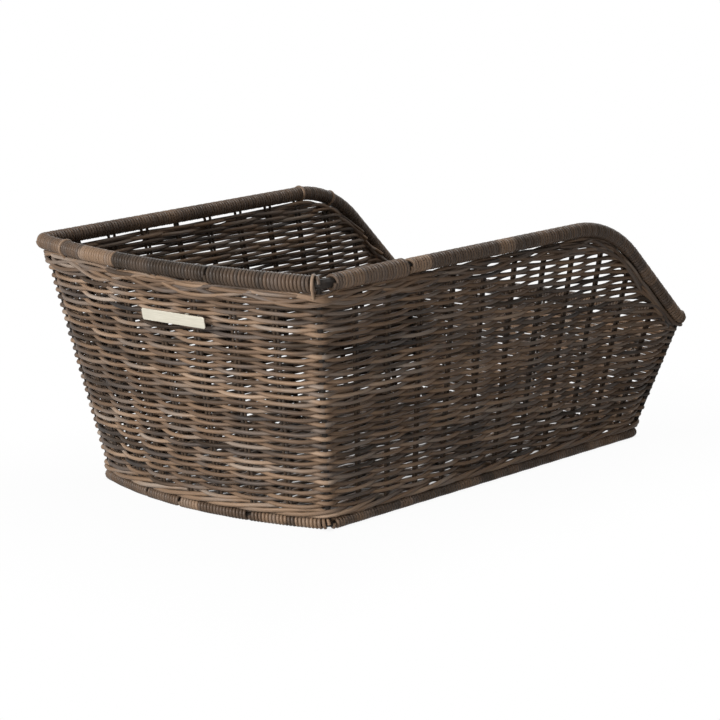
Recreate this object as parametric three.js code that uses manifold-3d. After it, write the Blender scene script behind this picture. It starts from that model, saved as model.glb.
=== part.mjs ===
// Rear-carrier bicycle basket: strands woven over a wire frame, with a bound rim and a bound base.
// Millimetres, +Z up. The tall bowed wall with the label is at -Y, the low wall by the saddle at +Y.
import * as THREE from 'three';
import { mergeVertices } from 'three/addons/utils/BufferGeometryUtils.js';
import Module from 'manifold-3d';

const wasm = await Module();
wasm.setup();

// Driving dimensions: plan of the two hoops, on their centre lines
const base_width = 244;
const base_length = 403;
const base_rear_bow = 25.5;
const base_front_bow = 6;
const rim_rear_width = 300;
const rim_front_width = 314;
const rear_overhang = 43;
const front_overhang = 19;
const rim_rear_bow = 24.5;
const rim_front_bow = 8;
const corner_radius = 6.5;

// Driving dimensions: side outline of the rim, heights of its centre line above the ground
const rim_rear_height = 201;
const rim_peak_height = 203;
const rim_front_height = 108.5;
const slope_run = 109;
const peak_radius = 114;
const foot_radius = 18;

// Driving dimensions: rods, strands and bindings
const rim_rod = 7.6;
const base_rod = 4;
const post_rod = 4.4;
const floor_rod = 3;
const rim_binding = 2;
const base_binding = 1.8;
const strand = 2.4;
const stake_strand = 2.2;
const stake_leg_spacing = 5;
const fit_gap = 0.45;
const turn_gap = 1.2;
const cross_gap = 2.1;
const corner_bare_length = 11;

// Driving dimensions: counts and spacings
const rear_stakes = 7;
const side_stakes = 11;
const front_stakes = 7;
const row_pitch = 8.6;
const rim_row_gap = 3;
const floor_rungs = 7;
const floor_row_pitch = 15;
const floor_ground_gap = 1;
const binding_turn_pitch = 26;
const binding_relief = 0.45;

// Driving dimensions: label plate
const label_width = 63.5;
const label_height = 9.4;
const label_thickness = 1.2;
const label_offset = 21.4;
const label_level = 164.7;
const label_corner = 1;
const prong_width = 3;
const prong_thickness = 0.9;
const prong_spacing = 18;
const prong_bend = 7;

// Sizes worked out from the above
const up = new THREE.Vector3(0, 0, 1);
const hoop_sides = 8;
const rod_sides = 6;
const strand_sides = 4;
const flat_share = Math.cos(Math.PI / hoop_sides);
const rim_bore = rim_rod / 2 + fit_gap;
const rim_radius = rim_bore + rim_binding;
const base_bore = base_rod / 2 + fit_gap;
const base_radius = base_bore + base_binding;
const base_height = base_radius * flat_share;
const rim_rear_y = -base_length / 2 - rear_overhang;
const rim_front_y = base_length / 2 + front_overhang;
const rim_peak_y = rim_front_y - slope_run;
const middle_y = (rim_front_y + rim_front_bow + rim_rear_y - rim_rear_bow) / 2;

// Materials, in the colours of the real pieces
function finish(color, roughness, metalness) {
  return new THREE.MeshStandardMaterial({ color, roughness, metalness });
}
const steel = finish(0x2a2623, 0.5, 0.8);
const weaver = finish(0x6b523f, 0.6, 0);
const stake = finish(0x3a2f28, 0.65, 0);
const binding = finish(0x4b392d, 0.6, 0);
const plate = finish(0xd8d3c2, 0.35, 0.9);

const basket = new THREE.Group();
basket.position.set(0, -middle_y, 0);

function add(name, geometry, material) {
  const mesh = new THREE.Mesh(geometry, material);
  mesh.name = name;
  basket.add(mesh);
}

// Rim height over the plan: a rising top line, a rounded peak, a slope and a level front

function rounding(corner, slope_in, slope_out, radius) {
  const angle_in = Math.atan(slope_in);
  const angle_out = Math.atan(slope_out);
  const bend = Math.sign(angle_out - angle_in);
  const tangent = radius * Math.tan(Math.abs(angle_out - angle_in) / 2);
  const start = corner.y - tangent * Math.cos(angle_in);
  const end = corner.y + tangent * Math.cos(angle_out);
  const centre_y = start - bend * radius * Math.sin(angle_in);
  const centre_z = corner.z - tangent * Math.sin(angle_in) + bend * radius * Math.cos(angle_in);
  return {
    start,
    end,
    height: (y) => centre_z - bend * Math.sqrt(radius * radius - (y - centre_y) ** 2),
  };
}

const foot_angle = Math.atan2(rim_peak_height - rim_front_height, slope_run);
const foot_y = rim_front_y - foot_radius * Math.tan(foot_angle / 2);
const top_slope = (rim_peak_height - rim_rear_height) / (rim_peak_y - rim_rear_y);
const fall_slope = (rim_front_height - rim_peak_height) / (foot_y - rim_peak_y);
const peak = rounding({ y: rim_peak_y, z: rim_peak_height }, top_slope, fall_slope, peak_radius);
const foot = rounding({ y: foot_y, z: rim_front_height }, fall_slope, 0, foot_radius);

function rimHeight(y) {
  if (y <= rim_rear_y) return rim_rear_height;
  if (y < peak.start) return rim_rear_height + top_slope * (y - rim_rear_y);
  if (y <= peak.end) return peak.height(y);
  if (y < foot.start) return rim_peak_height + fall_slope * (y - rim_peak_y);
  if (y <= foot.end) return foot.height(y);
  return rim_front_height;
}

// Hoop plans: four sides between four corners, counter-clockwise from the rear left corner

function hoopPlan(rear_half, front_half, rear_y, front_y, rear_bow, front_bow, heightAt) {
  const raise = (x, y) => new THREE.Vector3(x, y, heightAt(y));
  const bowed = (half, y, bow) => (t) => raise((2 * t - 1) * half, y + 4 * bow * t * (1 - t));
  const rear = bowed(rear_half, rear_y, -rear_bow);
  const front = bowed(-front_half, front_y, front_bow);
  const straight = (from, to) => (t) => {
    const point = from.clone().lerp(to, t);
    return raise(point.x, point.y);
  };
  const right = straight(rear(1), front(0));
  const left = straight(front(1), rear(0));
  return { rear, right, front, left };
}

const base_plan = hoopPlan(
  base_width / 2, base_width / 2, -base_length / 2, base_length / 2,
  base_rear_bow, base_front_bow, () => base_height,
);
const rim_plan = hoopPlan(
  rim_rear_width / 2, rim_front_width / 2, rim_rear_y, rim_front_y,
  rim_rear_bow, rim_front_bow, rimHeight,
);
const walls = ['rear', 'right', 'front', 'left'];

// Centre line of one side of a hoop, from the middle of one rounded corner to the middle of the next

const side_samples = 96;
const corner_samples = 4;
const straightness = 0.4 * fit_gap;
const weld_distance = 1e-4;

function cornerArc(plan, before, after, heightAt) {
  const corner = plan[before](1);
  const inward = plan[before](0.5).sub(corner).setZ(0).normalize();
  const outward = plan[after](0.5).sub(corner).setZ(0).normalize();
  const half_angle = inward.angleTo(outward) / 2;
  const cut = corner_radius / Math.tan(half_angle);
  const centre = corner.clone().add(inward.clone().add(outward).normalize()
    .multiplyScalar(corner_radius / Math.sin(half_angle)));
  const start = corner.clone().addScaledVector(inward, cut).sub(centre);
  const sweep = Math.PI - 2 * half_angle;
  const points = [];
  for (let i = 0; i <= corner_samples; i++) {
    const point = start.clone().applyAxisAngle(up, sweep * i / corner_samples).add(centre);
    points.push(point.setZ(heightAt(point.y)));
  }
  return { points, cut };
}

function sideLine(plan, wall, heightAt) {
  const index = walls.indexOf(wall);
  const first = cornerArc(plan, walls[(index + 3) % 4], wall, heightAt);
  const last = cornerArc(plan, wall, walls[(index + 1) % 4], heightAt);
  const points = first.points.slice(corner_samples / 2);
  const from = plan[wall](0);
  const to = plan[wall](1);
  for (let i = 1; i < side_samples; i++) {
    const point = plan[wall](i / side_samples);
    const clear = Math.min(point.distanceTo(from) - first.cut, point.distanceTo(to) - last.cut);
    if (clear > corner_radius / corner_samples) points.push(point);
  }
  return points.concat(last.points.slice(0, corner_samples / 2 + 1));
}

function lengthsAlong(points) {
  const lengths = [0];
  for (let i = 1; i < points.length; i++) {
    lengths.push(lengths[i - 1] + points[i].distanceTo(points[i - 1]));
  }
  return lengths;
}

function pointAt(points, lengths, distance) {
  let i = 1;
  while (i < points.length - 1 && lengths[i] < distance) i++;
  const share = (distance - lengths[i - 1]) / (lengths[i] - lengths[i - 1]);
  return points[i - 1].clone().lerp(points[i], share);
}

// Drops points that lie within the tolerance of a straight run
function simplified(points, tolerance) {
  const first = points[0];
  const last = points[points.length - 1];
  const chord = new THREE.Line3(first, last);
  let worst = 0;
  let at = 0;
  for (let i = 1; i < points.length - 1; i++) {
    const away = chord.closestPointToPoint(points[i], true, new THREE.Vector3()).distanceTo(points[i]);
    if (away > worst) {
      worst = away;
      at = i;
    }
  }
  if (worst <= tolerance) return [first, last];
  const head = simplified(points.slice(0, at + 1), tolerance);
  return head.slice(0, -1).concat(simplified(points.slice(at), tolerance));
}

// Rings of a tube and the closed surfaces between them

function tangents(points, closed) {
  const count = points.length;
  return points.map((point, i) => {
    const before = closed ? points[(i + count - 1) % count] : points[Math.max(i - 1, 0)];
    const after = closed ? points[(i + 1) % count] : points[Math.min(i + 1, count - 1)];
    const arriving = point.clone().sub(before).normalize();
    const leaving = after.clone().sub(point).normalize();
    return arriving.add(leaving).normalize();
  });
}

function ring(centre, tangent, reference, radius, sides) {
  const side = reference.clone().cross(tangent).normalize();
  const top = tangent.clone().cross(side);
  const points = [];
  for (let i = 0; i < sides; i++) {
    const angle = 2 * Math.PI * (i + 0.5) / sides;
    points.push(centre.clone().addScaledVector(side, radius * Math.cos(angle))
      .addScaledVector(top, radius * Math.sin(angle)));
  }
  return points;
}

class Surface {
  constructor() {
    this.positions = [];
    this.triangles = [];
  }

  addRings(rings) {
    return rings.map((points) => points.map((point) => {
      this.positions.push(point.x, point.y, point.z);
      return this.positions.length / 3 - 1;
    }));
  }

  quad(a, b, c, d) {
    this.triangles.push(a, b, c, a, c, d);
  }

  // Joins two rings with a strip of quads that faces away from the tube's axis
  strip(from, to) {
    const sides = from.length;
    for (let i = 0; i < sides; i++) {
      const next = (i + 1) % sides;
      this.quad(from[i], from[next], to[next], to[i]);
    }
  }

  cap(loop) {
    for (let i = 1; i < loop.length - 1; i++) this.triangles.push(loop[0], loop[i], loop[i + 1]);
  }

  geometry() {
    const geometry = new THREE.BufferGeometry();
    geometry.setAttribute('position', new THREE.Float32BufferAttribute(this.positions, 3));
    geometry.setIndex(this.triangles);
    geometry.computeVertexNormals();
    return geometry;
  }
}

// Solid rod or strand along open points
function rod(points, radius, sides, reference = up) {
  const directions = tangents(points, false);
  const surface = new Surface();
  const rings = surface.addRings(points.map((p, i) => ring(p, directions[i], reference, radius, sides)));
  for (let i = 1; i < rings.length; i++) surface.strip(rings[i - 1], rings[i]);
  surface.cap([...rings[0]].reverse());
  surface.cap(rings[rings.length - 1]);
  return surface.geometry();
}

// Solid rod bent into a closed hoop
function hoop(points, radius) {
  const directions = tangents(points, true);
  const surface = new Surface();
  const rings = surface.addRings(points.map((p, i) => ring(p, directions[i], up, radius, hoop_sides)));
  rings.forEach((points_of_ring, i) => surface.strip(points_of_ring, rings[(i + 1) % rings.length]));
  return surface.geometry();
}

// Sleeve of strand wound over one side of a hoop: a bore inside, turns that stand proud outside
function sleeve(points, bore, radius, relief, floor_level) {
  const lengths = lengthsAlong(points);
  const total = lengths[lengths.length - 1];
  const turns = 2 * Math.round(total / binding_turn_pitch / 2) + 1;
  const steps = 2 * turns;
  const inside = simplified(points, straightness);
  const outside = relief > 0 ? [] : inside;
  if (relief > 0) {
    for (let i = 0; i <= steps; i++) outside.push(pointAt(points, lengths, total * i / steps));
  }
  const outer_directions = tangents(outside, false);
  const inner_directions = tangents(inside, false);
  const surface = new Surface();
  const outer = surface.addRings(outside.map((point, i) => {
    const proud = i % 2 === 1 ? radius : radius - relief;
    return ring(point, outer_directions[i], up, proud, hoop_sides)
      .map((corner) => corner.setZ(Math.max(corner.z, floor_level)));
  }));
  const bore_radius = bore / flat_share;
  const inner = surface.addRings(inside.map((point, i) => (
    ring(point, inner_directions[i], up, bore_radius, hoop_sides))));
  for (let i = 1; i < outer.length; i++) surface.strip(outer[i - 1], outer[i]);
  for (let i = 1; i < inner.length; i++) surface.strip(inner[i], inner[i - 1]);
  surface.strip(inner[0], outer[0]);
  surface.strip(outer[outer.length - 1], inner[inner.length - 1]);
  return surface.geometry();
}

// Hoops and their bindings

function trimmed(points, cut) {
  const lengths = lengthsAlong(points);
  const total = lengths[lengths.length - 1];
  const inner = points.filter((point, i) => lengths[i] > cut && lengths[i] < total - cut);
  return [pointAt(points, lengths, cut), ...inner, pointAt(points, lengths, total - cut)];
}

function bindHoop(name, plan, heightAt, rod_radius, bore, radius, relief, floor_level) {
  const loop = [];
  for (const wall of walls) {
    const line = sideLine(plan, wall, heightAt);
    loop.push(...simplified(line, straightness).slice(0, -1));
    const bound = trimmed(line, corner_bare_length / 2);
    add(`${name}_wrap_${wall}`, sleeve(bound, bore, radius, relief, floor_level), binding);
  }
  add(`${name}_hoop`, hoop(loop, rod_radius), steel);
}

bindHoop('rim', rim_plan, rimHeight, rim_rod / 2, rim_bore, rim_radius, binding_relief, -Infinity);
bindHoop('base', base_plan, () => base_height, base_rod / 2, base_bore, base_radius, 0, 0);

// Uprights: corner posts and doubled stakes, each along a line from the base hoop to the rim hoop

function uprightAt(foot_point, head_point, along, half_width, half_thickness) {
  const outward = along.clone().cross(up);
  return { foot: foot_point, head: head_point, along, outward, half_width, half_thickness };
}

function onUpright(upright, z) {
  const share = (z - upright.foot.z) / (upright.head.z - upright.foot.z);
  return upright.foot.clone().lerp(upright.head, share);
}

// How far along its own axis a rod stops short of a tube that it meets
function standOff(axis, tube_direction, tube_radius, rod_radius) {
  const cosine = Math.abs(axis.dot(tube_direction));
  const sine = Math.sqrt(1 - cosine * cosine);
  return (tube_radius + fit_gap + rod_radius * cosine) / sine;
}

function cornerMiddle(plan, wall, heightAt) {
  return sideLine(plan, wall, heightAt).slice(-1)[0];
}

const wall_starts = { rear: 'rear_left', right: 'rear_right', front: 'front_right', left: 'front_left' };
const wall_ends = { rear: 'rear_right', right: 'front_right', front: 'front_left', left: 'rear_left' };
const across_basket = new THREE.Vector3(1, 0, 0);
const posts = {};
for (const wall of walls) {
  const foot_point = cornerMiddle(base_plan, wall, () => base_height);
  const head_point = cornerMiddle(rim_plan, wall, rimHeight);
  const axis = head_point.clone().sub(foot_point).normalize();
  const lean = post_rod / 2 * Math.sqrt(1 - axis.z * axis.z);
  const points = [
    foot_point.clone().addScaledVector(axis, base_rod / 2 + fit_gap + lean),
    head_point.clone().addScaledVector(axis, -rim_rod / 2 - fit_gap - lean),
  ];
  posts[wall_ends[wall]] = { foot: foot_point, head: head_point };
  add(`corner_post_${wall_ends[wall]}`, rod(points, post_rod / 2, hoop_sides, across_basket), steel);
}

const stake_counts = { rear: rear_stakes, right: side_stakes, front: front_stakes, left: side_stakes };
const leg_radius = stake_strand / Math.SQRT2;
const bend_steps = 4;

// A stake is one strand doubled into a hairpin that stands on the base binding and stops under the rim
function hairpin(wall, share) {
  const leg_share = stake_leg_spacing / 2 / rim_plan[wall](0).distanceTo(rim_plan[wall](1));
  const foot_point = base_plan[wall](share);
  const along = wallDirection(wall, share);
  const axis = rim_plan[wall](share).sub(foot_point).normalize();
  const across = along.clone().cross(axis).normalize();
  const bend_radius = stake_leg_spacing / 2;
  const bend_rise = base_radius + fit_gap + stake_strand / 2 + bend_radius;
  const bend_centre = foot_point.clone().addScaledVector(axis, bend_rise);
  const legs = [-1, 1].map((side) => {
    const rim_share = share + side * leg_share;
    const rim_point = rim_plan[wall](rim_share);
    const rim_before = rim_plan[wall](rim_share - leg_share);
    const rim_direction = rim_plan[wall](rim_share + leg_share).sub(rim_before).normalize();
    const reach = standOff(axis, rim_direction, rim_radius, stake_strand / 2);
    return rim_point.addScaledVector(axis, -reach);
  });
  const bend = [];
  for (let i = 0; i <= bend_steps; i++) {
    const angle = Math.PI * i / bend_steps;
    bend.push(bend_centre.clone().addScaledVector(along, -bend_radius * Math.cos(angle))
      .addScaledVector(axis, -bend_radius * Math.sin(angle)));
  }
  return rod([legs[0], ...bend, legs[1]], leg_radius, strand_sides, across);
}

function wallDirection(wall, share) {
  const step = 1 / side_samples;
  return base_plan[wall](share + step).sub(base_plan[wall](share - step)).normalize();
}

const uprights = {};
for (const wall of walls) {
  const count = stake_counts[wall];
  const start = posts[wall_starts[wall]];
  const end = posts[wall_ends[wall]];
  uprights[wall] = [uprightAt(start.foot, start.head, wallDirection(wall, 0), 0, post_rod / 2)];
  for (let i = 1; i <= count; i++) {
    const share = i / (count + 1);
    add(`stake_${wall}_${i}`, hairpin(wall, share), stake);
    uprights[wall].push(uprightAt(
      base_plan[wall](share), rim_plan[wall](share), wallDirection(wall, share),
      stake_leg_spacing / 2, stake_strand / 2,
    ));
  }
  uprights[wall].push(uprightAt(end.foot, end.head, wallDirection(wall, 1), 0, post_rod / 2));
}

// Rows of the weave: level rows up to the front rim, and rows above it that crowd in under the slope

const first_row_edge = base_height + base_radius + fit_gap;
const front_row_edge = rim_front_height - rim_radius - rim_row_gap;
const level_rows = 2 * Math.round((front_row_edge - first_row_edge) / row_pitch / 2);
const level_pitch = (front_row_edge - first_row_edge) / level_rows;
const rear_row_edge = rim_rear_height - rim_radius - rim_row_gap;
const upper_rows = 2 * Math.round((rear_row_edge - front_row_edge) / row_pitch / 2);
const row_count = level_rows + upper_rows;
const least_pitch = 2 * strand;

// Rows that still run on at each upright of a wall, listed from the rear to the front
function rowsRunning(wall_uprights, pair_start) {
  let running = [];
  for (let row = 0; row < row_count; row++) running.push(row);
  return wall_uprights.map((upright) => {
    const room = upright.head.z - rim_radius - rim_row_gap - front_row_edge;
    const upper = running.filter((row) => row >= pair_start);
    const pairs = Math.ceil(upper.length / 2);
    const kept_pairs = Math.min(pairs, Math.max(0, Math.floor(room / (2 * least_pitch))));
    const kept = upper.filter((row, i) => (Math.floor(i / 2) * kept_pairs) % pairs < kept_pairs);
    running = running.filter((row) => row < pair_start).concat(kept);
    return running;
  });
}

function rowHeight(upright, running, row) {
  if (row < level_rows) return first_row_edge + level_pitch * (row + 0.5);
  const upper = running.filter((other) => other >= level_rows);
  const room = upright.head.z - rim_radius - rim_row_gap - front_row_edge;
  const pitch = Math.max(room / upper.length, upper.length === 1 ? level_pitch : 0);
  return front_row_edge + pitch * (upper.indexOf(row) + 0.5);
}

// One strand that runs to and fro along a wall, in front of and behind its uprights by turns

const weave_radius = strand / Math.SQRT2;
const turn_steps = 3;
const turn_climb = 0.35;
const turn_chord = Math.cos(Math.PI / turn_steps / 2);

function crossing(upright, z, outside) {
  const away = upright.half_thickness + strand / 2 + cross_gap;
  return onUpright(upright, z).addScaledVector(upright.outward, outside ? away : -away);
}

function turn(upright, forward, z_from, z_to, outside) {
  const away = (upright.half_thickness + strand / 2 + turn_gap) / turn_chord;
  const ahead = forward ? 1 : -1;
  const place = (z, step, side) => onUpright(upright, z)
    .addScaledVector(upright.along, ahead * step)
    .addScaledVector(upright.outward, (outside ? away : -away) * side);
  const points = [];
  for (let i = 0; i <= turn_steps; i++) {
    const angle = Math.PI * i / turn_steps;
    const climb = 0.5 + turn_climb * ((i === turn_steps) - (i === 0));
    const z = z_from + (z_to - z_from) * climb;
    points.push(place(z, upright.half_width + away * Math.sin(angle), Math.cos(angle)));
  }
  if (upright.half_width === 0) return points;
  return [place(z_from, -upright.half_width, 1), ...points, place(z_to, -upright.half_width, -1)];
}

function weave(list, running, parity) {
  const heights = (index, row) => rowHeight(list[index], running[index], row);
  const isOutside = (index, row) => (index + row + parity) % 2 === 0;
  const reach = (row) => {
    const indices = list.map((upright, i) => i).filter((i) => running[i].includes(row));
    return { first: indices[0], final: indices[indices.length - 1] };
  };
  const path = [];
  for (let row = 0; row < row_count; row++) {
    if (!running.some((rows) => rows.includes(row))) continue;
    const { first, final } = reach(row);
    const order = [];
    for (let i = first; i <= final; i++) order.push(i);
    const forward = row % 2 === 0;
    if (!forward) order.reverse();
    const started = path.length > 0;
    const goes_on = running.some((rows) => rows.includes(row + 1));
    const crossings = order.slice(started ? 1 : 0, goes_on ? -1 : undefined);
    for (const i of crossings) path.push(crossing(list[i], heights(i, row), isOutside(i, row)));
    if (goes_on) {
      const end = order[order.length - 1];
      const climb = [heights(end, row), heights(end, row + 1)];
      path.push(...turn(list[end], forward, ...climb, isOutside(end, row)));
    }
  }
  return rod(path, weave_radius, strand_sides);
}

const everyRow = (list) => list.map(() => Array.from({ length: row_count }, (unused, row) => row));
const levelRow = (list) => list.map(() => Array.from({ length: level_rows }, (unused, row) => row));

// The bowed rear wall is woven in three panels that share a stake
const rear_gaps = rear_stakes + 1;
const rear_thirds = [0, 1, 2, 3].map((third) => Math.round(rear_gaps * third / 3));
['left', 'middle', 'right'].forEach((part, i) => {
  const list = uprights.rear.slice(rear_thirds[i], rear_thirds[i + 1] + 1);
  add(`weave_rear_${part}`, weave(list, everyRow(list), rear_thirds[i] + i), weaver);
});
add('weave_right', weave(uprights.right, rowsRunning(uprights.right, level_rows), 1), weaver);
add('weave_front', weave(uprights.front, levelRow(uprights.front), 0), weaver);
const left_running = rowsRunning([...uprights.left].reverse(), level_rows + 1).reverse();
add('weave_left', weave(uprights.left, left_running, 1), weaver);

// Floor: a ladder of rods inside the base hoop, with a strand woven to and fro along it

const floor_height = floor_ground_gap + strand + fit_gap + strand / 4 + floor_rod / 2;
const rail_x = base_width / 2 - base_radius - fit_gap - floor_rod / 2;
const floor_turn_away = (floor_rod / 2 + strand / 2 + fit_gap) / turn_chord;
const rung_inset = base_radius + fit_gap + floor_turn_away + strand / 2;
const rung_samples = 8;

function rungPoint(index, x) {
  const share = index / (floor_rungs - 1);
  const from = -base_length / 2 + rung_inset;
  const to = base_length / 2 - rung_inset;
  const bow = -base_rear_bow + (base_rear_bow + base_front_bow) * share;
  const along = 1 - (x / (base_width / 2)) ** 2;
  return new THREE.Vector3(x, from + (to - from) * share + bow * along, floor_height);
}

function solid(geometry) {
  const merged = geometry.clone();
  merged.deleteAttribute('normal');
  merged.deleteAttribute('uv');
  const welded = mergeVertices(merged, weld_distance);
  return new wasm.Manifold(new wasm.Mesh({
    numProp: 3,
    vertProperties: new Float32Array(welded.attributes.position.array),
    triVerts: new Uint32Array(welded.index.array),
  }));
}

function joined(geometries) {
  const whole = geometries.map(solid).reduce((sum, piece) => sum.add(piece));
  const mesh = whole.getMesh();
  const geometry = new THREE.BufferGeometry();
  geometry.setAttribute('position', new THREE.Float32BufferAttribute(mesh.vertProperties, 3));
  geometry.setIndex(Array.from(mesh.triVerts));
  geometry.computeVertexNormals();
  return geometry;
}

const floor_rods = [-1, 1].map((side) => {
  const x = side * rail_x;
  const ends = [rungPoint(0, x), rungPoint(floor_rungs - 1, x)];
  ends[0].y -= floor_rod / 2;
  ends[1].y += floor_rod / 2;
  return rod(ends, floor_rod / 2, rod_sides);
});
for (let i = 0; i < floor_rungs; i++) {
  const points = [];
  for (let j = 0; j <= rung_samples; j++) points.push(rungPoint(i, rail_x * (2 * j / rung_samples - 1)));
  floor_rods.push(rod(simplified(points, straightness), floor_rod / 2, rod_sides));
}
add('floor_ladder', joined(floor_rods), steel);

function floorWeave() {
  const edge = rail_x - floor_rod / 2 - strand / 2 - fit_gap;
  const rows = Math.round(2 * edge / floor_row_pitch);
  const pitch = 2 * edge / rows;
  const away = floor_rod / 2 + strand / 2 + fit_gap + strand / 4;
  const path = [];
  for (let row = 0; row < rows; row++) {
    const x = -edge + pitch * (row + 0.5);
    const forward = row % 2 === 0;
    for (let step = 1; step < floor_rungs - 1; step++) {
      const i = forward ? step : floor_rungs - 1 - step;
      const over = (i + row) % 2 === 0 ? 1 : -1;
      path.push(rungPoint(i, x).addScaledVector(up, over * away));
    }
    if (row === rows - 1) break;
    const end = forward ? floor_rungs - 1 : 0;
    const over = (end + row) % 2 === 0 ? 1 : -1;
    for (let k = 0; k <= turn_steps; k++) {
      const angle = Math.PI * k / turn_steps;
      const point = rungPoint(end, x + pitch * k / turn_steps);
      point.y += (forward ? 1 : -1) * floor_turn_away * Math.sin(angle);
      point.z += over * floor_turn_away * Math.cos(angle);
      path.push(point);
    }
  }
  return rod(path, weave_radius, strand_sides);
}
add('floor_weave', floorWeave(), weaver);

// Label plate: a bare plate on the rear wall, held by two prongs that are bent over behind the weave

function labelPlate() {
  const label_share = 0.5 + label_offset / rim_rear_width;
  const gap_share = 1 / (rear_stakes + 1);
  const prong_share = (Math.floor(label_share / gap_share) + 0.5) * gap_share;
  const upper_pitch = (rear_row_edge - front_row_edge) / upper_rows;
  const level = front_row_edge + upper_pitch * Math.round((label_level - front_row_edge) / upper_pitch);
  const wallPoint = (share) => {
    const low = base_plan.rear(share);
    const high = rim_plan.rear(share);
    return low.lerp(high, (level - base_height) / (rim_rear_height - base_height));
  };
  const centre = wallPoint(label_share);
  const before = wallPoint(label_share - gap_share / 2);
  const along = wallPoint(label_share + gap_share / 2).sub(before).normalize();
  const axis = rim_plan.rear(label_share).sub(base_plan.rear(label_share)).normalize();
  const outward = along.clone().cross(axis).normalize();
  const rise = outward.clone().cross(along);
  const weave_face = stake_strand / 2 + strand + cross_gap;
  const back_face = weave_face + fit_gap;
  const side_x = label_width / 2;
  const top_y = label_height / 2;
  const inner_x = side_x - label_corner;
  const inner_y = top_y - label_corner;
  const outline = new THREE.Shape([
    [-inner_x, -top_y], [inner_x, -top_y], [side_x, -inner_y], [side_x, inner_y],
    [inner_x, top_y], [-inner_x, top_y], [-side_x, inner_y], [-side_x, -inner_y],
  ].map(([x, y]) => new THREE.Vector2(x, y)));
  const face = new THREE.ExtrudeGeometry(outline, { depth: label_thickness, bevelEnabled: false });
  face.translate(0, 0, back_face);
  const prong_middle = wallPoint(prong_share).sub(centre).dot(along);
  const prongs = [-1, 1].map((side) => {
    const outer = prong_middle + side * prong_spacing / 2;
    const inner = outer - side * prong_width;
    const tip = outer - side * prong_bend;
    const behind = -weave_face - fit_gap;
    const hook = new THREE.Shape();
    hook.moveTo(outer, back_face + label_thickness / 2);
    hook.lineTo(outer, behind - prong_thickness);
    hook.lineTo(tip, behind - prong_thickness);
    hook.lineTo(tip, behind);
    hook.lineTo(inner, behind);
    hook.lineTo(inner, back_face + label_thickness / 2);
    const geometry = new THREE.ExtrudeGeometry(hook, { depth: prong_thickness, bevelEnabled: false });
    geometry.rotateX(Math.PI / 2);
    return geometry.translate(0, prong_thickness / 2, 0);
  });
  const geometry = joined([face, ...prongs]);
  const place = new THREE.Matrix4().makeBasis(along, rise, outward).setPosition(centre);
  return geometry.applyMatrix4(place);
}
add('label_plate', labelPlate(), plate);

export default basket;
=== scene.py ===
# %% [markdown]
# # A woven basket for a bicycle's rear carrier
# The basket is brown synthetic cane, woven over a wire frame: a bound rim, a bound base, upright stakes,
# and strands that pass in front of and behind the stakes by turns. The frame below holds every piece at
# its real size. This lesson gives each piece its finish, and weaves the walls strand by strand.

# %% The fixed frame
import math

import bmesh
import bpy
import numpy as np
from mathutils import Matrix, Vector


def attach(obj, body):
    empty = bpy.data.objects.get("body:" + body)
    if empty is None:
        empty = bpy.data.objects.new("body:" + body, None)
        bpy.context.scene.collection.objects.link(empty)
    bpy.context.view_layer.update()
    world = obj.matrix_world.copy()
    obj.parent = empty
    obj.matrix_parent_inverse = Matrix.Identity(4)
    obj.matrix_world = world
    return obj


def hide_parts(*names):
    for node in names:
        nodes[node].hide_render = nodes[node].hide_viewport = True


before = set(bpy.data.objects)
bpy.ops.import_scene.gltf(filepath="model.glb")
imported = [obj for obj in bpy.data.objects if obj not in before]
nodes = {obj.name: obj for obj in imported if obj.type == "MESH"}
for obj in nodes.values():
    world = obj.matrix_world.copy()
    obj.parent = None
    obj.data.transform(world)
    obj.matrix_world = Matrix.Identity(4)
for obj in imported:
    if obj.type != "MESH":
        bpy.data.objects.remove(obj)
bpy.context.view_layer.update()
scene = bpy.context.scene
mm = 0.001
print("frame nodes:", len(nodes))

# %% [markdown]
# ## The camera
# The photograph looks down a little on the near corner, from far away. A camera could be placed by eye.
# Here the angles, the distance and the lens were worked out from the corners of the two hoops, so that
# the render can be laid over the photograph. The camera aims beside and above the middle of the base,
# which keeps the picture free of lens shift.

# %% Camera
base_middle = Vector((0, 20.25 * mm, 0))
view_azimuth = math.radians(40.834)
view_elevation = math.radians(12.038)
view_distance = 2308.9 * mm
view_far = 20
aim_right = -16.54 * mm
aim_up = 84.0 * mm
picture_width = 720
focal_pixels = 2731.62
sensor_width = 36.0


def studio_camera():
    level = math.cos(view_elevation)
    back = Vector((
        math.sin(view_azimuth) * level,
        -math.cos(view_azimuth) * level,
        math.sin(view_elevation),
    ))
    right = Vector((math.cos(view_azimuth), math.sin(view_azimuth), 0))
    aim = base_middle + right * aim_right + Vector((0, 0, aim_up))
    data = bpy.data.cameras.new("studio_camera")
    data.sensor_width = sensor_width
    data.lens = sensor_width * focal_pixels / picture_width
    data.clip_end = view_far
    camera = bpy.data.objects.new("studio_camera", data)
    turn = Matrix((right, back.cross(right), back)).transposed()
    camera.matrix_world = Matrix.Translation(aim + back * view_distance) @ turn.to_4x4()
    scene.collection.objects.link(camera)
    scene.camera = camera
    return camera


camera = studio_camera()
print("camera at", [round(x, 3) for x in camera.location])

# %% [markdown]
# ## The two hoops
# Everything on a basket hangs between two hoops. The base hoop is level. The rim hoop runs almost level
# along the sides, rounds over at a peak and slopes down to the low front. The hoops could be curves drawn
# by hand. Functions are chosen because every later piece asks for points of the same two lines: one gives
# a point from the wall and the share of the wall's length, with the corners rounded by a short curve.

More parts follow.
